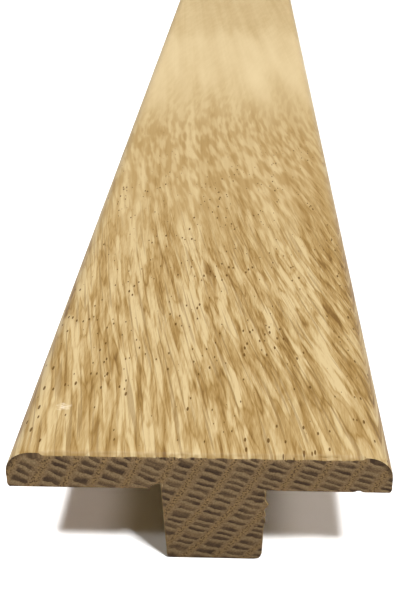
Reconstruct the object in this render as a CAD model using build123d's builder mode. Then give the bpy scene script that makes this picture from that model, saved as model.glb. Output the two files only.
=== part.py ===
"""Oak threshold strip: a T-section floor moulding, machined from one solid length of oak.

The flat cap bridges the joint between two floors, its wings lap over the edges of both,
and the stem stands in the gap between them. The strip stands on the foot of its stem.
X runs across the strip, Y along it and Z up. The origin is at the bottom centre of its box.
"""

import os

from build123d import *

# Driving dimensions, in millimetres
strip_length = 900.0
strip_height = 16.0
cap_width = 45.0
cap_thickness = 5.2
cap_edge_radius = 3.1
wing_tip_arris = 0.3
stem_root_width = 12.4
stem_foot_width = 11.6
stem_offset = 1.8
stem_foot_arris = 0.35
relief_width = 1.4
relief_depth = 0.85

# Heights and places that follow from them
underside = strip_height - cap_thickness
root_left = stem_offset - stem_root_width / 2
root_right = stem_offset + stem_root_width / 2
foot_left = stem_offset - stem_foot_width / 2
foot_right = stem_offset + stem_foot_width / 2

# Corners of the cutter's overrun, where the left wing meets the stem
relief_lip = (root_left - relief_width, underside)
relief_corner = (root_left, underside)
relief_top = (root_left, underside + relief_depth)


with BuildPart() as threshold_strip:
    with BuildSketch(Plane.XZ) as section:
        # The cap, rounded over along both top edges, with its lower arrises just broken
        with Locations((0, underside)):
            Rectangle(cap_width, cap_thickness, align=(Align.CENTER, Align.MIN))
        fillet(section.vertices().group_by(Axis.Y)[-1], radius=cap_edge_radius)
        fillet(section.vertices().group_by(Axis.Y)[0], radius=wing_tip_arris)

        # The stem, a little narrower at its foot, off the cap's middle
        with BuildLine():
            Polyline(
                (root_left, underside),
                (foot_left, 0),
                (foot_right, 0),
                (root_right, underside),
                close=True,
            )
        make_face()
        fillet(section.vertices().group_by(Axis.Y)[0], radius=stem_foot_arris)

        # The hollow that the cutter left in the corner under the left wing
        with BuildLine():
            TangentArc(relief_top, relief_lip, tangent=(-1, 0))
            Polyline(relief_lip, relief_corner, relief_top)
        make_face(mode=Mode.SUBTRACT)
    extrude(amount=strip_length / 2, both=True)
threshold_strip.part.label = "threshold_strip"

os.makedirs("parts", exist_ok=True)
export_step(threshold_strip.part, "parts/threshold_strip.step")
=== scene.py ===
"""Oak threshold strip: the T-section moulding with its planed top, sawn ends and bare oak grain.

X runs across the strip, Y along it from the near end to the far end, and Z up.
"""

import math

import bmesh
import bpy
from mathutils import Matrix, Vector


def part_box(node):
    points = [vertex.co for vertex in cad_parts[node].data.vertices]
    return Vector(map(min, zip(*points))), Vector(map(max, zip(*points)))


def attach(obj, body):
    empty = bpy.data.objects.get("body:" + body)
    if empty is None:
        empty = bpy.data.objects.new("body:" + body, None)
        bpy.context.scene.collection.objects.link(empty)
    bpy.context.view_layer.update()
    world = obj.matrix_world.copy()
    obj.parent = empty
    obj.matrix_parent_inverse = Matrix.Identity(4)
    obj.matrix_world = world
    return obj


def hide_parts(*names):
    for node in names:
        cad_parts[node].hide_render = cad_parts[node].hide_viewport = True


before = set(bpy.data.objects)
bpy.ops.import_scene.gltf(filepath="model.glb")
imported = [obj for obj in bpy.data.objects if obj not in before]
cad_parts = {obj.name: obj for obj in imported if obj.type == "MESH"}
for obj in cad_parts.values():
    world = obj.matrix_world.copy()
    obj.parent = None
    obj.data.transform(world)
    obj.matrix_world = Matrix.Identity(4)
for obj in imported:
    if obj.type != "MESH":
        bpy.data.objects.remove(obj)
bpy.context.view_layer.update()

bl_info = {
    "name": "Oak Threshold Strip",
    "version": (1, 0, 0),
    "blender": (4, 5, 0),
    "location": "View3D > Sidebar > Threshold",
    "description": "Models a T-section oak threshold strip and a plain studio for it",
    "category": "Object",
}

MM = 0.001
BODY = "root"
NODE = "threshold_strip"
PIECE = "oak_strip"

# How close two places on the mesh are when they count as one
PLACE_SLACK = 0.02 * MM
CUT_SLACK = 0.01 * MM
MERGE_SLACK = 0.002 * MM

# Share of a face's normal along an axis: more where the face looks that way, less where it is a side
FACING = 0.9
SIDE_FACING = 0.5

strip_low, strip_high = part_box(NODE)
strip_size = Vector(strip_high) - Vector(strip_low)


class StripSizes(bpy.types.PropertyGroup):
    """Sizes of the strip and of the wear on it."""

    length: bpy.props.FloatProperty(
        name="Length", description="Length of the strip", default=strip_size.y, unit="LENGTH"
    )
    cap_width: bpy.props.FloatProperty(
        name="Cap width", description="Width over both wings", default=strip_size.x, unit="LENGTH"
    )
    height: bpy.props.FloatProperty(
        name="Height", description="Height from the stem's foot to the top",
        default=strip_size.z, unit="LENGTH",
    )
    cap_thickness: bpy.props.FloatProperty(
        name="Cap thickness", description="Thickness of the wings", default=5.2 * MM, unit="LENGTH"
    )
    edge_radius: bpy.props.FloatProperty(
        name="Edge radius", description="Radius of the cap's top edges", default=3.1 * MM, unit="LENGTH"
    )
    wing_arris: bpy.props.FloatProperty(
        name="Wing arris", description="Break of the wings' lower edges", default=0.3 * MM, unit="LENGTH"
    )
    stem_root: bpy.props.FloatProperty(
        name="Stem root", description="Width of the stem under the cap", default=12.4 * MM, unit="LENGTH"
    )
    stem_foot: bpy.props.FloatProperty(
        name="Stem foot", description="Width of the stem at its foot", default=11.6 * MM, unit="LENGTH"
    )
    stem_offset: bpy.props.FloatProperty(
        name="Stem offset", description="Stem's place right of the middle", default=1.8 * MM, unit="LENGTH"
    )
    foot_arris: bpy.props.FloatProperty(
        name="Foot arris", description="Break of the foot's edges", default=0.35 * MM, unit="LENGTH"
    )
    relief_width: bpy.props.FloatProperty(
        name="Relief width", description="Width of the cutter's hollow", default=1.4 * MM, unit="LENGTH"
    )
    relief_depth: bpy.props.FloatProperty(
        name="Relief depth", description="Depth of the cutter's hollow", default=0.85 * MM, unit="LENGTH"
    )
    mesh_pitch: bpy.props.FloatProperty(
        name="Mesh pitch", description="Size of the end grain's mesh cells", default=0.3 * MM, unit="LENGTH"
    )
    saw_depth: bpy.props.FloatProperty(
        name="Saw depth", description="Roughness that the saw left on the ends",
        default=0.1 * MM, unit="LENGTH",
    )
    end_wear: bpy.props.FloatProperty(
        name="End wear", description="Roll of the top arris of an end", default=0.75 * MM, unit="LENGTH"
    )
    end_arris: bpy.props.FloatProperty(
        name="End arris", description="Break of the lower edges of an end", default=0.24 * MM, unit="LENGTH"
    )
    worn_from: bpy.props.FloatProperty(
        name="Worn from", description="Where the rolled arris begins at the left",
        default=-17.8 * MM, unit="LENGTH",
    )
    worn_to: bpy.props.FloatProperty(
        name="Worn to", description="Where the rolled arris ends at the right",
        default=18.9 * MM, unit="LENGTH",
    )
    wear_reach: bpy.props.FloatProperty(
        name="Wear reach", description="How far the wear goes in from the arris",
        default=1.2 * MM, unit="LENGTH",
    )


class OakLook(bpy.types.PropertyGroup):
    """Colours and grain of the oak, with a painted sheen and painted highlights among them."""

    # Paler oak, partly the wood's own calm stretches and partly a painted sheen
    pale_oak_and_sheen: bpy.props.FloatVectorProperty(
        name="Pale oak", description="Calm stretches of the planed face",
        default=(0.560, 0.468, 0.282), subtype="COLOR",
    )
    light_oak: bpy.props.FloatVectorProperty(
        name="Light oak", description="Pale streaks of the planed face",
        default=(0.446, 0.354, 0.191), subtype="COLOR",
    )
    honey_oak: bpy.props.FloatVectorProperty(
        name="Honey oak", description="Main colour of the planed face",
        default=(0.331, 0.236, 0.103), subtype="COLOR",
    )
    brown_oak: bpy.props.FloatVectorProperty(
        name="Brown oak", description="Brown streaks of the planed face",
        default=(0.237, 0.149, 0.049), subtype="COLOR",
    )
    dark_oak: bpy.props.FloatVectorProperty(
        name="Dark oak", description="Darkest streaks of the planed face",
        default=(0.140, 0.079, 0.024), subtype="COLOR",
    )
    # A small pale spot near the left edge
    spot: bpy.props.FloatVectorProperty(
        name="Scuff", description="Small pale scuff near the left edge",
        default=(0.66, 0.60, 0.48), subtype="COLOR",
    )
    pore: bpy.props.FloatVectorProperty(
        name="Pore", description="Open pores", default=(0.085, 0.040, 0.006), subtype="COLOR"
    )
    end_brown: bpy.props.FloatVectorProperty(
        name="End brown", description="Main colour of the end grain",
        default=(0.188, 0.123, 0.061), subtype="COLOR",
    )
    end_tan: bpy.props.FloatVectorProperty(
        name="End tan", description="Early wood lines of the end grain",
        default=(0.209, 0.134, 0.059), subtype="COLOR",
    )
    # Painted highlight: the pale upper edge of each dash, as on a bump lit from above
    end_highlight: bpy.props.FloatVectorProperty(
        name="End crest", description="Pale upper edges of the dashes",
        default=(0.228, 0.168, 0.090), subtype="COLOR",
    )
    end_dark: bpy.props.FloatVectorProperty(
        name="End dark", description="Dark dashes of the end grain",
        default=(0.050, 0.031, 0.018), subtype="COLOR",
    )
    planed_gloss: bpy.props.FloatProperty(
        name="Planed gloss", description="Specular level of the planed length", default=0.15, subtype="FACTOR"
    )
    sawn_gloss: bpy.props.FloatProperty(
        name="Sawn gloss", description="Specular level of the sawn ends", default=0.08, subtype="FACTOR"
    )
    ring_pitch: bpy.props.FloatProperty(
        name="Ring pitch", description="Distance between growth rings", default=3.25 * MM, unit="LENGTH"
    )
    ring_start: bpy.props.FloatProperty(
        name="Ring start", description="Sideways place of the first ring", default=1.75 * MM, unit="LENGTH"
    )
    ring_lean: bpy.props.FloatProperty(
        name="Ring lean", description="Sideways run of the rings for each rise, at the foot", default=0.85
    )
    ring_curve: bpy.props.FloatProperty(
        name="Ring curve", description="How much the rings straighten for each millimetre of rise",
        default=0.013,
    )
    ray_pitch: bpy.props.FloatProperty(
        name="Ray pitch", description="Distance between rays", default=1.05 * MM, unit="LENGTH"
    )
    ray_start: bpy.props.FloatProperty(
        name="Ray start", description="Height of the first ray", default=0.4 * MM, unit="LENGTH"
    )
    ray_lean: bpy.props.FloatProperty(
        name="Ray lean", description="Fall of the rays for each sideways run, at the foot", default=0.2
    )
    ray_curve: bpy.props.FloatProperty(
        name="Ray curve", description="How much the rays steepen for each millimetre of rise", default=0.012
    )
    band_lean: bpy.props.FloatProperty(
        name="Band lean", description="Sideways run of the long bands for each millimetre of length",
        default=0.075,
    )
    wave_length: bpy.props.FloatProperty(
        name="Wave length", description="Length over which the fibres rise and dive",
        default=340 * MM, unit="LENGTH",
    )
    wave_height: bpy.props.FloatProperty(
        name="Wave height", description="How far the fibres rise and dive", default=5.4 * MM, unit="LENGTH"
    )
    wave_centre: bpy.props.FloatProperty(
        name="Wave centre", description="Where the fibres rise most, from the near end",
        default=50 * MM, unit="LENGTH",
    )


class StudioLook(bpy.types.PropertyGroup):
    """Floor and light of the studio."""

    floor_colour: bpy.props.FloatVectorProperty(
        name="Floor", description="Colour of the floor", default=(0.93, 0.93, 0.93), subtype="COLOR"
    )
    floor_bounce: bpy.props.FloatVectorProperty(
        name="Floor bounce", description="Colour that the floor throws on the strip",
        default=(0.35, 0.35, 0.36), subtype="COLOR",
    )
    key_power: bpy.props.FloatProperty(
        name="Key", description="Power of the light at the right", default=58.5, unit="POWER"
    )
    fill_power: bpy.props.FloatProperty(
        name="Fill", description="Power of the light at the left, on the strip alone",
        default=46.0, unit="POWER",
    )
    wash_right: bpy.props.FloatProperty(
        name="Right wash", description="Power of the floor's light at the right front",
        default=36.0, unit="POWER",
    )
    wash_left: bpy.props.FloatProperty(
        name="Left wash", description="Power of the floor's light at the left back",
        default=95.0, unit="POWER",
    )
    wash_front: bpy.props.FloatProperty(
        name="Front wash", description="Power of the floor's light at the left front",
        default=9.0, unit="POWER",
    )
    backdrop: bpy.props.FloatProperty(
        name="Backdrop", description="Strength of the light from behind the strip", default=0.35
    )
    left_side: bpy.props.FloatProperty(
        name="Left side", description="Strength of the light from the left", default=18.6
    )
    right_side: bpy.props.FloatProperty(
        name="Right side", description="Strength of the light from the right", default=24.5
    )
    room: bpy.props.FloatProperty(
        name="Room", description="Strength of the light from all around", default=0.035
    )
    back_tint: bpy.props.FloatVectorProperty(
        name="Back tint", description="Colour of the light from behind and all around",
        default=(1.0, 0.62, 0.38), subtype="COLOR",
    )
    left_tint: bpy.props.FloatVectorProperty(
        name="Left tint", description="Colour of the light from the left",
        default=(1.0, 0.84, 0.75), subtype="COLOR",
    )
    right_tint: bpy.props.FloatVectorProperty(
        name="Right tint", description="Colour of the light from the right",
        default=(1.0, 0.90, 0.83), subtype="COLOR",
    )


# Selecting and cutting in edit mode


def pick(strip, kind, wanted):
    """Selects only those vertices, edges or faces that the test wants."""
    bpy.ops.mesh.select_mode(type={"verts": "VERT", "edges": "EDGE", "faces": "FACE"}[kind])
    bpy.ops.mesh.select_all(action="DESELECT")
    mesh = bmesh.from_edit_mesh(strip.data)
    found = [part for part in getattr(mesh, kind) if wanted(part)]
    if not found:
        raise RuntimeError("no " + kind + " found on " + strip.name)
    for part in found:
        part.select_set(True)
    mesh.select_flush_mode()
    bmesh.update_edit_mesh(strip.data)


def near(value, target):
    """Whether two places count as one."""
    return abs(value - target) < PLACE_SLACK


def vertex_on(x, z):
    """Test for the vertices on the long line at one X and Z."""
    return lambda vert: near(vert.co.x, x) and near(vert.co.z, z)


def edge_on(x, z):
    """Test for the edges along the long line at one X and Z."""
    on_line = vertex_on(x, z)
    return lambda edge: all(on_line(vert) for vert in edge.verts)


def cut_across(axis, place):
    """Cuts the whole mesh with a plane square to one axis."""
    normal = Vector((0, 0, 0))
    normal[axis] = 1
    bpy.ops.mesh.select_all(action="SELECT")
    bpy.ops.mesh.bisect(plane_co=normal * place, plane_no=normal, threshold=CUT_SLACK)


def bevel(offset, segments):
    """Rounds the selected edges."""
    bpy.ops.mesh.bevel(offset=offset, segments=segments, profile=0.5, affect="EDGES")


def steps(low, high, pitch):
    """Evenly spaced places strictly between two ends."""
    count = max(1, round((high - low) / pitch))
    return [low + (high - low) * index / count for index in range(1, count)]


# The strip


class Section:
    """Places in the T section that follow from the sizes."""

    def __init__(self, sizes):
        self.half = sizes.cap_width / 2
        self.underside = sizes.height - sizes.cap_thickness
        self.root_left = sizes.stem_offset - sizes.stem_root / 2
        self.root_right = sizes.stem_offset + sizes.stem_root / 2
        self.foot_left = sizes.stem_offset - sizes.stem_foot / 2
        self.foot_right = sizes.stem_offset + sizes.stem_foot / 2
        self.relief_lip = self.root_left - sizes.relief_width


def draw_stem(strip, sizes, section):
    """Draws the stem down out of the cap's underside and narrows it at its foot."""

    def over_stem(face):
        middle = face.calc_center_median()
        return face.normal.z < -FACING and section.root_left < middle.x < section.root_right

    pick(strip, "faces", over_stem)
    bpy.ops.mesh.extrude_region_move(TRANSFORM_OT_translate={"value": (0, 0, -section.underside)})
    bpy.ops.transform.resize(
        value=(sizes.stem_foot / sizes.stem_root, 1, 1), center_override=(sizes.stem_offset, 0, 0)
    )


def hollow_corner(strip, sizes, section, cuts):
    """Lifts the underside beside the stem to the cutter's arc, which is level where it meets the stem."""
    arc_radius = (sizes.relief_width**2 + sizes.relief_depth**2) / (2 * sizes.relief_depth)
    for place in cuts:
        run = section.root_left - place
        rise = sizes.relief_depth - arc_radius + math.sqrt(arc_radius**2 - run**2)
        pick(strip, "verts", vertex_on(place, section.underside))
        bpy.ops.transform.translate(value=(0, 0, rise))


def round_long_edges(strip, sizes, section):
    """Rounds the cap's top edges, and breaks the long edges below them."""
    for x in (-section.half, section.half):
        pick(strip, "edges", edge_on(x, sizes.height))
        bevel(sizes.edge_radius, segments=10)
        pick(strip, "edges", edge_on(x, section.underside))
        bevel(sizes.wing_arris, segments=2)
    for x in (section.foot_left, section.foot_right):
        pick(strip, "edges", edge_on(x, 0))
        bevel(sizes.foot_arris, segments=3)


def round_end_edges(strip, sizes, section, end):
    """Rolls the top arris of an end over, short of its outer corners, and breaks the edges below it."""

    def on_end(edge):
        return all(near(vert.co.y, end) for vert in edge.verts)

    def on_top_arris(edge):
        return on_end(edge) and all(
            near(vert.co.z, sizes.height)
            and sizes.worn_from - CUT_SLACK < vert.co.x < sizes.worn_to + CUT_SLACK
            for vert in edge.verts
        )

    def on_lower_edge(edge):
        height = sum(vert.co.z for vert in edge.verts) / 2
        meets_side = any(abs(face.normal.y) < SIDE_FACING for face in edge.link_faces)
        return on_end(edge) and meets_side and height < section.underside + sizes.wing_arris

    pick(strip, "edges", on_top_arris)
    bevel(sizes.end_wear, segments=6)
    pick(strip, "edges", on_lower_edge)
    bevel(sizes.end_arris, segments=2)


def model_section(strip, sizes, section):
    """Shapes the cap's block into the T section, at its full length."""
    relief_pitch = sizes.relief_width / 4
    bpy.ops.object.mode_set(mode="EDIT")
    relief_cuts = [*steps(section.relief_lip, section.root_left, relief_pitch), section.root_left]
    for place in (section.relief_lip, *relief_cuts, section.root_right):
        cut_across(0, place)
    draw_stem(strip, sizes, section)
    hollow_corner(strip, sizes, section, relief_cuts)
    round_long_edges(strip, sizes, section)
    for place in (sizes.worn_from, sizes.worn_to):
        cut_across(0, place)
    for end in (-sizes.length / 2, sizes.length / 2):
        round_end_edges(strip, sizes, section, end)
    bpy.ops.object.mode_set(mode="OBJECT")


def cut_mesh_cells(sizes, section):
    """Cuts the section into small cells, and the length into rings that crowd towards the ends."""
    ring_growth = 1.5
    bpy.ops.object.mode_set(mode="EDIT")
    for place in steps(-section.half, section.half, sizes.mesh_pitch):
        cut_across(0, place)
    for place in steps(0, sizes.height - sizes.end_wear, sizes.mesh_pitch):
        cut_across(2, place)

    # One ring inside the rolled arris, one at its end, and from there on wider and wider apart
    end = sizes.length / 2
    inset = sizes.end_wear
    rings = [inset / 2]
    while inset < end:
        rings.append(inset)
        inset *= ring_growth
    for inset in rings:
        cut_across(1, -end + inset)
        cut_across(1, end - inset)
    bpy.ops.mesh.select_all(action="SELECT")
    bpy.ops.mesh.remove_doubles(threshold=MERGE_SLACK)
    bpy.ops.mesh.normals_make_consistent(inside=False)
    bpy.ops.object.mode_set(mode="OBJECT")


def press_in(strip, name, weights, depth, grain_size, direction="NORMAL"):
    """Presses the surface inwards, or along an axis, by a cloudy pattern, where the weights say."""
    group = strip.vertex_groups.new(name=name)
    for index, weight in weights.items():
        group.add([index], weight, "REPLACE")
    clouds = bpy.data.textures.new(name, "CLOUDS")
    clouds.noise_scale = grain_size
    clouds.noise_depth = 2
    clouds.use_clamp = True
    press = strip.modifiers.new(name, "DISPLACE")
    press.texture = clouds
    press.texture_coords = "LOCAL"
    press.direction = direction
    press.mid_level = 0.0
    press.strength = -depth
    press.vertex_group = name
    bpy.ops.object.modifier_apply(modifier=name)


def spot_weights(strip, sizes, spots):
    """Weights that fall off around spots on the near end, each given by X, Z and radius."""
    weights = {}
    for vert in strip.data.vertices:
        inset = vert.co.y + sizes.length / 2
        for x, z, radius in spots:
            away = math.dist((vert.co.x, vert.co.z, inset), (x, z, 0))
            if away < radius:
                weights[vert.index] = 1 - away / radius
    return weights


def chip_corners(strip, sizes, section):
    """Small chips broken out of the near end, and splinters that stand out of the stem's right edge."""
    foot_chip = (section.foot_right, 0, 0.9 * MM)
    wing_chip = (18.7 * MM, section.underside, 0.55 * MM)
    chip_depth = 0.6 * MM
    chip_grain = 2.0 * MM
    press_in(strip, "chips", spot_weights(strip, sizes, (foot_chip, wing_chip)), chip_depth, chip_grain)

    # Height and radius of each splinter
    splinters = ((8.6 * MM, 0.7 * MM), (7.1 * MM, 0.5 * MM), (6.0 * MM, 0.5 * MM))
    splinter_length = 1.0 * MM
    splinter_grain = 0.5 * MM
    roots = [(section.root_right, height, radius) for height, radius in splinters]
    press_in(strip, "splinters", spot_weights(strip, sizes, roots), -splinter_length, splinter_grain, "X")


def wear_ends(strip, sizes, section):
    """Roughens the sawn ends and their arrises, and chips a few corners."""
    wear_depth = 0.5 * MM
    wear_grain = 1.3 * MM
    saw_grain = 0.5 * MM
    rough = {}
    worn = {}
    for vert in strip.data.vertices:
        inset = sizes.length / 2 - abs(vert.co.y)
        below = sizes.height - vert.co.z
        if inset < CUT_SLACK:
            rough[vert.index] = 1.0
        if inset < sizes.wear_reach and below < sizes.wear_reach:
            worn[vert.index] = 1 - max(inset, below) / sizes.wear_reach
    press_in(strip, "worn_arris", worn, wear_depth, wear_grain)
    chip_corners(strip, sizes, section)
    press_in(strip, "saw_marks", rough, sizes.saw_depth, saw_grain)


# Nodes


class NodeBoard:
    """Lays out the nodes of one material or world, and wires them."""

    def __init__(self, tree):
        self.tree = tree

    def add(self, kind, **settings):
        """A new node."""
        node = self.tree.nodes.new(kind)
        for key, value in settings.items():
            setattr(node, key, value)
        return node

    def feed(self, socket, value):
        """Wires another node's output to a socket, or sets the socket to a plain value."""
        if isinstance(value, bpy.types.NodeSocket):
            self.tree.links.new(value, socket)
        elif socket.type == "RGBA":
            socket.default_value = opaque(value)
        else:
            socket.default_value = value

    def math(self, operation, first, second=0.0, third=0.0):
        """Result of one math node."""
        node = self.add("ShaderNodeMath", operation=operation)
        for socket, value in zip(node.inputs, (first, second, third)):
            self.feed(socket, value)
        return node.outputs[0]

    def times(self, first, *others):
        """All the values multiplied together."""
        for other in others:
            first = self.math("MULTIPLY", first, other)
        return first

    def plus(self, base, value, weight):
        """A base, and a share of a value added to it."""
        return self.math("MULTIPLY_ADD", value, weight, base)

    def leaned(self, base, value, weight):
        """A base, moved by how far a value lies from its middle."""
        return self.plus(base, self.math("SUBTRACT", value, 0.5), weight)

    def vector(self, operation, first, second=(0, 0, 0)):
        """Result of one vector math node."""
        node = self.add("ShaderNodeVectorMath", operation=operation)
        self.feed(node.inputs[0], first)
        self.feed(node.inputs[1], second)
        return node.outputs["Value" if operation in ("DISTANCE", "DOT_PRODUCT") else "Vector"]

    def part(self, vector, axis):
        """One axis of a vector."""
        node = self.add("ShaderNodeSeparateXYZ")
        self.feed(node.inputs[0], vector)
        return node.outputs[axis]

    def join(self, x, y, z):
        """A vector from its three parts."""
        node = self.add("ShaderNodeCombineXYZ")
        for socket, value in zip(node.inputs, (x, y, z)):
            self.feed(socket, value)
        return node.outputs[0]

    def noise(self, vector, spacing, detail=2.0, roughness=0.5, output="Fac"):
        """Noise whose features are about as long as the spacing along each axis."""
        node = self.add("ShaderNodeTexNoise")
        self.feed(node.inputs["Vector"], self.vector("DIVIDE", vector, spacing))
        node.inputs["Scale"].default_value = 1.0
        node.inputs["Detail"].default_value = detail
        node.inputs["Roughness"].default_value = roughness
        return node.outputs[output]

    def cells(self, vector, spacing, dimensions="3D"):
        """Distance to the middle of the nearest cell, in cells about as long as the spacing."""
        node = self.add("ShaderNodeTexVoronoi", voronoi_dimensions=dimensions)
        self.feed(node.inputs["Vector"], self.vector("DIVIDE", vector, spacing))
        node.inputs["Scale"].default_value = 1.0
        return node.outputs["Distance"]

    def fade(self, value, low, high):
        """0 below low and 1 above high, or the other way round where low is the larger."""
        node = self.add("ShaderNodeMapRange", interpolation_type="SMOOTHSTEP")
        self.feed(node.inputs["Value"], value)
        rising = low < high
        node.inputs["From Min"].default_value = min(low, high)
        node.inputs["From Max"].default_value = max(low, high)
        node.inputs["To Min"].default_value = 0.0 if rising else 1.0
        node.inputs["To Max"].default_value = 1.0 if rising else 0.0
        return node.outputs["Result"]

    def ramp(self, value, *stops):
        """Colours set at places along a value."""
        node = self.add("ShaderNodeValToRGB")
        self.feed(node.inputs[0], value)
        marks = node.color_ramp.elements
        while len(marks) < len(stops):
            marks.new(1.0)
        for mark, (place, colour) in zip(marks, stops):
            mark.position = place
            mark.color = opaque(colour)
        return node.outputs[0]

    def tint(self, amount, first, second, blend="MIX"):
        """The first colour, changed to the second by an amount."""
        node = self.add("ShaderNodeMix", data_type="RGBA", blend_type=blend)
        sockets = {socket.identifier: socket for socket in node.inputs}
        self.feed(sockets["Factor_Float"], amount)
        self.feed(sockets["A_Color"], first)
        self.feed(sockets["B_Color"], second)
        return node.outputs[2]


def opaque(colour):
    """A colour with full alpha."""
    return (*colour[:3], 1.0)


def new_material(name):
    """A material with its board and its main shader."""
    material = bpy.data.materials.new(name)
    material.use_nodes = True
    return material, NodeBoard(material.node_tree), material.node_tree.nodes["Principled BSDF"]


# The oak, in millimetres. Spacings on the grain run across the rings, along the strip and along a ring


class Wood:
    """Places inside the oak, and what grows there."""

    def __init__(self, board, look, sizes):
        scaled = board.add("ShaderNodeMapping", vector_type="POINT")
        board.feed(scaled.inputs["Vector"], board.add("ShaderNodeTexCoord").outputs["Object"])
        scaled.inputs["Scale"].default_value = (1 / MM, 1 / MM, 1 / MM)
        scaled.inputs["Location"].default_value = (0, sizes.length / 2 / MM, 0)
        self.place = scaled.outputs[0]
        self.lay_bands(board, look, sizes)
        self.lay_fibres(board, look)
        self.grow_rings(board, look)
        self.grow_rays(board, look)

    def lay_bands(self, board, look, sizes):
        """Long bands lean across the strip and come down over its rounded edges."""
        edge_lean = 2.0
        waver_reach = 50.0
        self.side, self.along, rise = (board.part(self.place, axis) for axis in range(3))

        # Streaks run straight over the rolled arris of an end
        self.rise = board.math("MINIMUM", rise, (sizes.height - sizes.end_wear) / MM)
        self.slant = board.plus(board.plus(self.side, self.rise, edge_lean), self.along, look.band_lean)
        self.bands = board.join(self.slant, self.along, 0.0)

        # Changes along the length come sooner in some bands than in others
        waver = board.noise(self.bands, (3.5, 60, 1), detail=1.0)
        self.uneven = board.leaned(self.along, waver, waver_reach)

    def lay_fibres(self, board, look):
        """Fibres rise and dive along the strip. Rings and rays are bent sheets along them."""
        crest_sharpness = 0.95
        ring_spread = 0.89
        ray_spread = 0.92
        x = board.math("SUBTRACT", self.side, look.ring_start / MM)
        z = board.math("SUBTRACT", self.rise, look.ray_start / MM)

        # Long straight slopes between rounded crests, measured from the near end
        first_turn = -math.tau * look.wave_centre / look.wave_length
        start = math.asin(crest_sharpness * math.sin(first_turn))
        turns = board.math("MULTIPLY_ADD", self.along, math.tau * MM / look.wave_length, first_turn)
        wave = board.math("ARCSINE", board.times(board.math("SINE", turns), crest_sharpness))
        depth = board.plus(z, board.math("SUBTRACT", wave, start), look.wave_height / MM)

        # Slow and quick swings, by spacing, sideways reach and rise
        for spacing, sway, lift in (((90, 70, 90), 4.0, 0.6), ((14, 22, 14), 0.3, 0.1)):
            swing = board.noise(self.place, spacing, output="Color")
            x = board.plus(x, board.part(swing, 0), sway)
            depth = board.plus(depth, board.part(swing, 2), lift)

        lean = board.plus(look.ring_lean, depth, -look.ring_curve)
        fall = board.plus(look.ray_lean, depth, look.ray_curve)
        self.across = board.times(board.math("SUBTRACT", x, board.times(depth, lean)), ring_spread)
        self.tangent = board.plus(board.times(depth, ray_spread), x, fall)
        self.grain = board.join(self.across, self.along, self.tangent)

    def grow_rings(self, board, look):
        """Number of the ring at a place, and the share of that ring, with its early and late wood."""
        drift = 0.9
        fray = 0.3
        uneven = board.noise(board.join(self.across, 0.0, 0.0), (7, 7, 7))
        frayed = board.noise(self.grain, (0.5, 20, 0.5), detail=1.0)
        ring = board.math("DIVIDE", self.across, look.ring_pitch / MM)
        ring = board.plus(board.plus(ring, uneven, drift), frayed, fray)
        self.ring_number = board.math("FLOOR", ring)
        self.ring_share = board.math("FRACT", ring)
        self.early = self.ring_band(board, (0.0, 0.05), (0.28, 0.16))
        self.late = self.ring_band(board, (0.26, 0.40), (0.99, 0.87))
        self.porous = self.ring_band(board, (0.0, 0.12), (0.6, 0.3))

    def ring_band(self, board, rise, fall):
        """Part of each ring, by the shares of the ring between which it comes and goes."""
        return board.times(board.fade(self.ring_share, *rise), board.fade(self.ring_share, *fall))

    def grow_rays(self, board, look):
        """Sheets that cross each ring's late wood, each ring with its own."""
        ring_shift = 31.7
        ring_stagger = 0.37
        length_share = 0.04
        stray_reach = 1.4
        bend_reach = 0.6
        own = board.times(self.ring_number, ring_shift)
        row = board.join(self.tangent, own, board.times(self.along, length_share))
        stray = board.noise(row, (2.2, 2.2, 2.2), detail=1.0)
        bend = board.noise(self.grain, (1.3, 60, 1.3), detail=1.0)
        strength = board.noise(row, (0.9, 0.9, 0.9), detail=1.0)
        beat = board.math("DIVIDE", self.tangent, -look.ray_pitch / MM)
        beat = board.plus(beat, self.ring_number, ring_stagger)
        beat = board.plus(board.plus(beat, stray, stray_reach), bend, bend_reach)
        self.ray_share = board.math("FRACT", beat)
        self.ray_strength = board.fade(strength, 0.15, 0.48)

    def rays(self, board, begin, full):
        """Rays that darken from one share of their pitch to another, down to a sharp lower edge. Where the
        darkening is slow, it is painted shade, as on bumps lit from above.
        """
        dark = board.times(board.fade(self.ray_share, begin, full), board.fade(self.ray_share, 1.0, 0.9))
        return board.times(dark, self.ray_strength, self.late)

    def stretch(self, board, centre, spacing, low, high):
        """Fades in and out along the length, once in each spacing, with its middle at the centre."""
        turns = board.math("MULTIPLY_ADD", self.uneven, math.tau / spacing, -math.tau * centre / spacing)
        return board.fade(board.math("COSINE", turns), low, high)


def burnt_rim(board, wood, sizes):
    """Dark rim that the cutter left along the rounded edges."""
    rim_width = 0.8
    rim_inset = 0.15
    radius = sizes.edge_radius / MM
    side = board.math("SUBTRACT", board.math("ABSOLUTE", wood.side), sizes.cap_width / 2 / MM - radius)
    side = board.math("MAXIMUM", side, 0.0)
    rise = board.math("SUBTRACT", board.part(wood.place, 2), sizes.height / MM - radius)
    rise = board.math("MAXIMUM", rise, 0.0)
    reach = board.math("SQRT", board.plus(board.times(rise, rise), side, side))
    rim = board.fade(reach, radius - rim_width, radius - rim_inset)
    corner = board.times(board.fade(rise, 0.2, 1.2), board.fade(side, 0.0, 0.6))
    return board.times(rim, corner)


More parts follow.
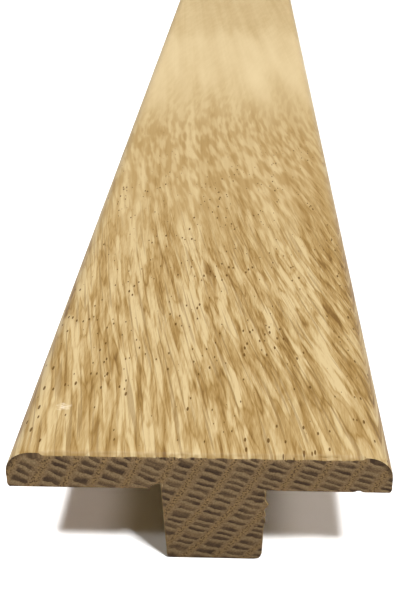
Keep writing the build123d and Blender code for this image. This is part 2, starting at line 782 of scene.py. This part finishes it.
def end_grain(board, look, wood, sizes):
    """Sawn end: tan early wood with rows of open pores, and dark dashes across the late wood. Each dash
    carries painted shade that deepens down to its sharp lower edge, and a painted highlight above it.
    """
    highlight_share = 0.5
    pore_share = 0.72
    fuzz_share = 0.45
    burn_share = 0.7
    dash_share = 0.8
    dash_change = 0.4
    fuzz_height = 0.5
    pores = board.cells(board.join(wood.across, wood.tangent, 0.0), (0.32, 0.32, 1.0), "2D")
    pore = board.times(board.fade(pores, 0.40, 0.2), wood.early)
    # Painted highlight on the upper edge of each dash
    highlight = board.times(board.fade(wood.ray_share, 0.45, 0.1), wood.late)
    faint = board.fade(board.noise(wood.grain, (2.4, 60, 1.2), detail=1.0), 0.3, 0.62)
    # Dark dashes, with painted shade that deepens down to each one's sharp lower edge
    dashes = board.times(wood.rays(board, 0.18, 0.66), board.leaned(dash_share, faint, dash_change))
    fuzz = board.noise(wood.grain, (0.2, 2.0, 0.2), detail=3.0, roughness=0.7)
    shade = board.fade(fuzz, 0.2, 0.8)
    burn = burnt_rim(board, wood, sizes)

    colour = board.tint(wood.early, look.end_brown, look.end_tan)
    colour = board.tint(board.times(highlight, highlight_share), colour, look.end_highlight)
    colour = board.tint(dashes, colour, look.end_dark)
    colour = board.tint(board.times(pore, pore_share), colour, look.end_dark)
    colour = board.tint(fuzz_share, colour, board.join(shade, shade, shade), "OVERLAY")
    colour = board.tint(board.times(burn, burn_share), colour, look.end_dark)
    height = board.math("SUBTRACT", board.times(fuzz, fuzz_height), pore)
    return colour, height


def streaks(board, wood, soft):
    """Tone of the flecks that slant across the planed face: long and sharp, or short where it is soft."""
    ray_weight = -0.13
    thread_weight = 0.12
    speckle_weight = 0.30
    mottle_weight = 0.19
    broken = board.fade(board.noise(wood.grain, (2.0, 14, 0.7), detail=1.0), 0.35, 0.55)
    sharp = board.times(wood.rays(board, 0.35, 0.5), broken, ray_weight)

    # Lens-shaped flecks, large to small: spacing, weight, and weight of the outline on their dark side
    for spacing, weight, outline in (
        ((5.0, 18, 0.9), 0.05, -0.10),
        ((3.4, 16, 0.42), 0.15, -0.09),
        ((2.0, 12, 0.14), 0.08, 0.0),
    ):
        sheet = board.noise(wood.grain, spacing, detail=1.0)
        sharp = board.leaned(sharp, board.fade(sheet, 0.44, 0.56), weight)
        rim = board.fade(board.math("ABSOLUTE", board.math("SUBTRACT", sheet, 0.45)), 0.045, 0.0)
        sharp = board.plus(sharp, rim, outline)
    threads = board.noise(wood.grain, (0.5, 20, 0.5), detail=1.5)
    speckle = board.noise(wood.grain, (0.18, 2.4, 0.18), detail=2.0)
    sharp = board.leaned(board.leaned(sharp, threads, thread_weight), speckle, speckle_weight)
    mottle = board.noise(wood.grain, (4.0, 7.5, 0.5), detail=1.5)
    short = board.leaned(0.0, board.fade(mottle, 0.36, 0.64), mottle_weight)
    return board.plus(sharp, board.math("SUBTRACT", short, sharp), soft)


def face_tone(board, wood, soft):
    """Tone of the planed face, dark to light: long bands and lines, with the flecks over them."""
    main_tone = 0.572
    cloud_weight = 0.05
    side_fall = -0.0013
    soft_fall = -0.025
    calm = wood.stretch(board, 228, 450, -0.1, 0.5)
    bands = board.fade(board.noise(wood.bands, (2.6, 160, 1), detail=1.5), 0.36, 0.64)
    clouds = board.noise(wood.place, (18, 30, 18), detail=1.0)
    lines = board.fade(board.noise(wood.bands, (0.8, 110, 1), detail=1.0), 0.36, 0.64)
    band_weight = board.plus(0.16, soft, -0.08)
    line_weight = board.plus(0.07, soft, -0.03)
    streak_weight = board.plus(1.0, calm, -0.65)
    tone = board.leaned(main_tone, bands, band_weight)
    tone = board.leaned(tone, clouds, cloud_weight)
    tone = board.leaned(tone, lines, line_weight)
    tone = board.plus(board.plus(tone, wood.side, side_fall), soft, soft_fall)
    return board.plus(tone, streaks(board, wood, soft), streak_weight)


def pale_wood_and_sheen(board, wood):
    """Share of the pale colour, partly paler wood and partly painted sheen: one long stretch with a browner
    middle, which comes back fainter further on.
    """
    mean_share = 0.65
    patchiness = 0.6
    browner_loss = -0.45
    further_loss = -0.55
    pale = wood.stretch(board, 215, 430, 0.05, 0.9)
    browner = wood.stretch(board, 250, 430, 0.85, 0.98)
    further = board.fade(wood.uneven, 330, 560)
    patches = board.noise(wood.bands, (6, 50, 1), detail=1.0)
    pale = board.times(pale, board.plus(1.0, browner, browner_loss), board.plus(1.0, further, further_loss))
    return board.times(pale, board.leaned(mean_share, patches, patchiness))


def end_stain(board, wood, sizes):
    """Brown spots on the planed face close to both ends."""
    middle = sizes.length / 2 / MM
    off_middle = board.math("ABSOLUTE", board.math("SUBTRACT", wood.along, middle))
    inset = board.math("SUBTRACT", middle, off_middle)
    spots = board.fade(board.noise(wood.place, (1.2, 1.0, 1.2), detail=1.0), 0.46, 0.62)
    return board.times(board.fade(inset, 1.1, 0.2), spots)


def open_pores(board, wood):
    """Short open pores, crowded in places, which thin out where the wood is calm."""
    early_gain = -0.05
    crowd_gain = -0.09
    crowd = board.fade(board.noise(wood.place, (6, 11, 6), detail=1.0), 0.42, 0.62)
    pits = board.cells(wood.grain, (0.78, 2.4, 0.78))
    pits = board.plus(board.plus(pits, wood.porous, early_gain), crowd, crowd_gain)
    shown = wood.stretch(board, 240, 480, 0.1, -0.5)
    return board.times(board.fade(pits, 0.08, 0.04), shown)


def spot_mark(board, wood, sizes):
    """One small pale spot with a ragged outline, at the left of the near end."""
    spot_side = -17.0
    spot_inset = 9.0
    stretch_side = 0.6
    stretch_along = 0.8
    ragged_reach = 1.2
    centre = (spot_side * stretch_side, spot_inset * stretch_along, sizes.height / MM)
    place = board.vector("MULTIPLY", wood.place, (stretch_side, stretch_along, 1))
    away = board.vector("DISTANCE", place, centre)
    away = board.plus(away, board.noise(wood.place, (0.6, 0.4, 0.6)), ragged_reach)
    return board.fade(away, 1.2, 0.6)


def planed_face(board, look, wood, sizes):
    """Planed length: slanting streaks over long bands, with dark hairs, open pores, a pale stretch that is
    partly painted sheen, and one small pale spot.
    """
    hair_share = 0.42
    stain_share = 0.6
    pit_share = 0.88
    spot_share = 0.7
    pit_height = -0.4
    hair_height = -0.35
    soft = wood.stretch(board, 180, 420, -0.6, 0.35)
    hairs = board.fade(board.noise(wood.grain, (3.0, 22, 0.14), detail=0.5), 0.58, 0.70)
    hair = board.times(hairs, board.math("SUBTRACT", 1.0, soft))
    pit = open_pores(board, wood)

    colour = board.ramp(
        face_tone(board, wood, soft),
        (0.14, look.dark_oak),
        (0.32, look.brown_oak),
        (0.5, look.honey_oak),
        (0.7, look.light_oak),
    )
    colour = board.tint(board.times(hair, hair_share), colour, look.dark_oak)
    # Pale stretch: partly paler wood, partly a painted sheen
    colour = board.tint(pale_wood_and_sheen(board, wood), colour, look.pale_oak_and_sheen)
    colour = board.tint(board.times(end_stain(board, wood, sizes), stain_share), colour, look.brown_oak)
    colour = board.tint(board.times(pit, pit_share), colour, look.pore)
    # One small pale spot
    colour = board.tint(board.times(spot_mark(board, wood, sizes), spot_share), colour, look.spot)
    height = board.plus(board.times(pit, pit_height), hair, hair_height)
    return colour, height


def worn_lip(board, wood, sizes):
    """Light wood that reaches over the worn arris of an end, down to a ragged line."""
    edge = 0.3
    ragged_reach = 1.4
    worn = board.times(
        board.fade(wood.side, sizes.worn_from / MM - edge, sizes.worn_from / MM),
        board.fade(wood.side, sizes.worn_to / MM + edge, sizes.worn_to / MM),
    )
    ragged = board.noise(board.join(wood.side, 0.0, 0.0), (0.9, 1, 1), detail=3.0)
    below = board.math("SUBTRACT", sizes.height / MM, board.part(wood.place, 2))
    below = board.plus(below, ragged, -ragged_reach)
    return board.times(board.fade(below, -0.2, -0.32), worn)


def oak_material(name, gloss, look, sizes):
    """Oak that is one solid pattern: planed along the length, and sawn across it at the ends."""
    planed_roughness = 0.42
    sawn_roughness = 0.82
    material, board, shader = new_material(name)
    wood = Wood(board, look, sizes)
    end_colour, end_height = end_grain(board, look, wood, sizes)
    face_colour, face_height = planed_face(board, look, wood, sizes)

    # Which way the surface faces tells sawn end from planed length
    normal = board.add("ShaderNodeNewGeometry").outputs["Normal"]
    facing = board.fade(board.math("ABSOLUTE", board.part(normal, 1)), 0.86, 0.93)
    sawn = board.times(facing, board.math("SUBTRACT", 1.0, worn_lip(board, wood, sizes)))
    board.feed(shader.inputs["Base Color"], board.tint(sawn, face_colour, end_colour))
    roughness = board.plus(planed_roughness, sawn, sawn_roughness - planed_roughness)
    board.feed(shader.inputs["Roughness"], roughness)
    shader.inputs["Specular IOR Level"].default_value = gloss

    bump = board.add("ShaderNodeBump")
    bump.inputs["Strength"].default_value = 0.6
    bump.inputs["Distance"].default_value = 0.12 * MM
    height = board.plus(face_height, board.math("SUBTRACT", end_height, face_height), sawn)
    board.feed(bump.inputs["Height"], height)
    board.feed(shader.inputs["Normal"], bump.outputs[0])
    return material


def finish_faces(strip, look, sizes):
    """Satin on the planed length, and a dull finish on the sawn ends."""
    strip.data.materials.append(oak_material("planed_oak", look.planed_gloss, look, sizes))
    strip.data.materials.append(oak_material("sawn_oak", look.sawn_gloss, look, sizes))
    for face in strip.data.polygons:
        face.material_index = 1 if abs(face.normal.y) > FACING else 0


class THRESHOLD_OT_add_strip(bpy.types.Operator):
    """Model the oak strip in place of the plain solid"""

    bl_idname = "threshold.add_strip"
    bl_label = "Add Oak Strip"

    def execute(self, context):
        smooth_angle = math.radians(35)
        sizes = context.scene.threshold_sizes
        look = context.scene.threshold_oak
        section = Section(sizes)
        bpy.ops.object.select_all(action="DESELECT")
        bpy.ops.mesh.primitive_cube_add(
            size=1,
            location=(0, 0, sizes.height - sizes.cap_thickness / 2),
            scale=(sizes.cap_width, sizes.length, sizes.cap_thickness),
        )
        strip = context.object
        strip.name = PIECE
        strip.data.name = PIECE
        bpy.ops.object.transform_apply(location=True, rotation=True, scale=True)
        model_section(strip, sizes, section)
        cut_mesh_cells(sizes, section)
        wear_ends(strip, sizes, section)
        bpy.ops.object.shade_smooth_by_angle(angle=smooth_angle)
        finish_faces(strip, look, sizes)
        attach(strip, BODY)
        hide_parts(NODE)
        return {"FINISHED"}


# The studio


def add_floor(studio):
    """White floor, which throws less light on the strip than it shows to the camera."""
    floor_size = 2.8
    bpy.ops.object.select_all(action="DESELECT")
    bpy.ops.mesh.primitive_plane_add(size=floor_size, location=(0, 0, 0))
    floor = bpy.context.object
    floor.name = "floor"
    material, board, shader = new_material("floor_white")
    seen = board.add("ShaderNodeLightPath").outputs["Is Camera Ray"]
    board.feed(shader.inputs["Base Color"], board.tint(seen, studio.floor_bounce, studio.floor_colour))
    shader.inputs["Roughness"].default_value = 0.9
    shader.inputs["Specular IOR Level"].default_value = 0.0
    floor.data.materials.append(material)
    return floor


def light_group(name, lit):
    """A collection of the one object that a light shines on."""
    group = bpy.data.collections.new(name)
    group.objects.link(lit)
    return group


def add_softbox(name, direction, power, group=None):
    """A square light that looks at the strip's near end, and shines on all or on one group."""
    distance = 2.6
    size = 0.32
    target = Vector((0, -strip_size.y / 2, strip_size.z))
    away = Vector(direction).normalized()
    bpy.ops.object.light_add(type="AREA", location=target + away * distance)
    box = bpy.context.object
    box.name = name
    box.rotation_euler = away.to_track_quat("Z", "Y").to_euler()
    box.data.size = size
    box.data.energy = power
    if group:
        box.light_linking.receiver_collection = group


def add_softboxes(studio, strip, floor):
    """Light from the right front, a fill on the strip alone, and a wash that keeps the floor white."""
    right_front = (4.6, -3.8, 10.8)
    left_front = (-4.0, -4.0, 10.8)
    left_back = (-4.0, 4.0, 10.8)
    on_strip = light_group("strip_fill", strip)
    on_floor = light_group("floor_wash", floor)
    add_softbox("key_light", right_front, studio.key_power)
    add_softbox("fill_light", left_front, studio.fill_power, on_strip)
    add_softbox("wash_right", right_front, studio.wash_right, on_floor)
    add_softbox("wash_left", left_back, studio.wash_left, on_floor)
    add_softbox("wash_front", left_front, studio.wash_front, on_floor)


def light_world(studio):
    """White to the camera. To the strip it is bright at both sides, and dim behind and in front."""
    world = bpy.data.worlds.new("studio")
    bpy.context.scene.world = world
    world.use_nodes = True
    world.node_tree.nodes.clear()
    board = NodeBoard(world.node_tree)
    direction = board.add("ShaderNodeTexCoord").outputs["Generated"]
    light = [part * studio.room for part in studio.back_tint]

    # Soft round patches of light: where they lie, the cosine at their rim, strength and colour
    for towards, rim, power, tint in (
        ((0, 1, 0), 0.85, studio.backdrop, studio.back_tint),
        ((-0.718, 0.1, 0.688), 0.985, studio.left_side, studio.left_tint),
        ((0.76, 0.1, 0.64), 0.978, studio.right_side, studio.right_tint),
    ):
        patch = board.fade(board.vector("DOT_PRODUCT", direction, towards), rim, 1.0)
        glow = board.vector("MULTIPLY", board.join(patch, patch, patch), [part * power for part in tint])
        light = board.vector("ADD", light, glow)
    seen = board.add("ShaderNodeBackground")
    lit = board.add("ShaderNodeBackground")
    mix = board.add("ShaderNodeMixShader")
    board.feed(seen.inputs["Color"], (1, 1, 1))
    board.feed(lit.inputs["Color"], light)
    board.feed(mix.inputs["Fac"], board.add("ShaderNodeLightPath").outputs["Is Camera Ray"])
    board.feed(mix.inputs[1], lit.outputs[0])
    board.feed(mix.inputs[2], seen.outputs[0])
    board.feed(board.add("ShaderNodeOutputWorld").inputs["Surface"], mix.outputs[0])


def add_camera():
    """The photo's viewpoint: above the near end, a little right of the middle, looking along the strip."""
    photo_height = 597
    focal_pixels = 884
    sensor = 36.0
    place = Vector((5.4, -79.7, 80.2)) * MM + Vector((0, -strip_size.y / 2, 0))
    pitch = math.radians(28.75)
    yaw = math.radians(-2.79)
    roll = math.radians(-0.84)
    bpy.ops.object.camera_add()
    camera = bpy.context.object
    camera.name = "photo_camera"
    camera.data.sensor_width = sensor
    camera.data.lens = focal_pixels / photo_height * sensor
    camera.data.clip_start = 1 * MM
    aim = Matrix.Rotation(-yaw, 4, "Z") @ Matrix.Rotation(math.pi / 2 - pitch, 4, "X")
    camera.matrix_world = Matrix.Translation(place) @ aim @ Matrix.Rotation(roll, 4, "Z")
    bpy.context.scene.camera = camera


class THRESHOLD_OT_add_studio(bpy.types.Operator):
    """Add the white floor, the lights and the camera"""

    bl_idname = "threshold.add_studio"
    bl_label = "Add Studio"

    def execute(self, context):
        studio = context.scene.threshold_studio
        strip = context.scene.objects.get(PIECE)
        if strip is None:
            raise RuntimeError("the strip has to be added before its studio")
        floor = add_floor(studio)
        add_softboxes(studio, strip, floor)
        light_world(studio)
        add_camera()
        context.scene.view_settings.view_transform = "Standard"
        return {"FINISHED"}


class THRESHOLD_PT_panel(bpy.types.Panel):
    """Lists the strip and its studio in the sidebar"""

    bl_idname = "THRESHOLD_PT_panel"
    bl_label = "Oak Threshold Strip"
    bl_space_type = "VIEW_3D"
    bl_region_type = "UI"
    bl_category = "Threshold"

    def draw(self, context):
        scene = context.scene
        self.list_settings(scene.threshold_sizes)
        self.list_settings(scene.threshold_oak)
        self.layout.operator(THRESHOLD_OT_add_strip.bl_idname)
        self.list_settings(scene.threshold_studio)
        self.layout.operator(THRESHOLD_OT_add_studio.bl_idname)

    def list_settings(self, group):
        """One row for each setting of a group."""
        column = self.layout.column()
        for name in type(group).__annotations__:
            column.prop(group, name)


classes = (
    StripSizes,
    OakLook,
    StudioLook,
    THRESHOLD_OT_add_strip,
    THRESHOLD_OT_add_studio,
    THRESHOLD_PT_panel,
)


def register():
    for part in classes:
        bpy.utils.register_class(part)
    bpy.types.Scene.threshold_sizes = bpy.props.PointerProperty(type=StripSizes)
    bpy.types.Scene.threshold_oak = bpy.props.PointerProperty(type=OakLook)
    bpy.types.Scene.threshold_studio = bpy.props.PointerProperty(type=StudioLook)


def unregister():
    del bpy.types.Scene.threshold_studio
    del bpy.types.Scene.threshold_oak
    del bpy.types.Scene.threshold_sizes
    for part in reversed(classes):
        bpy.utils.unregister_class(part)


def main():
    register()
    bpy.ops.threshold.add_strip()
    bpy.ops.threshold.add_studio()


if __name__ == "__main__":
    main()
